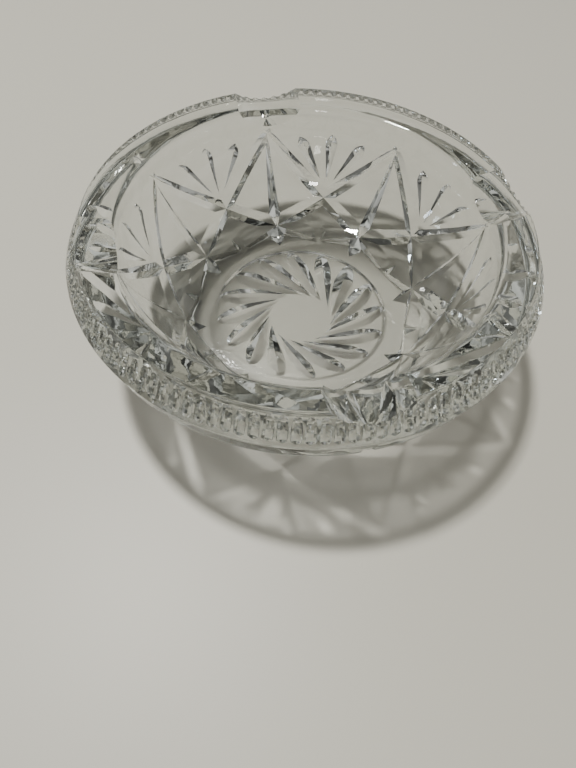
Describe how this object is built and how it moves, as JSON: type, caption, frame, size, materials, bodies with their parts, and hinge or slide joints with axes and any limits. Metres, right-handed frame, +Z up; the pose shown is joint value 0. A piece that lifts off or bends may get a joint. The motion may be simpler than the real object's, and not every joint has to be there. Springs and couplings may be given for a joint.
{
  "type": "glass ashtray",
  "caption": "Round heavy clear cut-glass ashtray: deep smooth bowl, thick rim with scooped rests, fluted edge, cut fan and star wall, and a pinwheel cut under the base.",
  "frame": {"origin": "middle of the resting plane under the foot", "axes": "+Z up along the turning axis, with the scooped rests on +X, +Y, -X and -Y"},
  "size_m": [0.1998, 0.1998, 0.076],
  "materials": {
    "clear_glass": "polished clear cut glass"
  },
  "bodies": {
    "root": {"glass_ashtray": "clear_glass"}
  },
  "joints": []
}
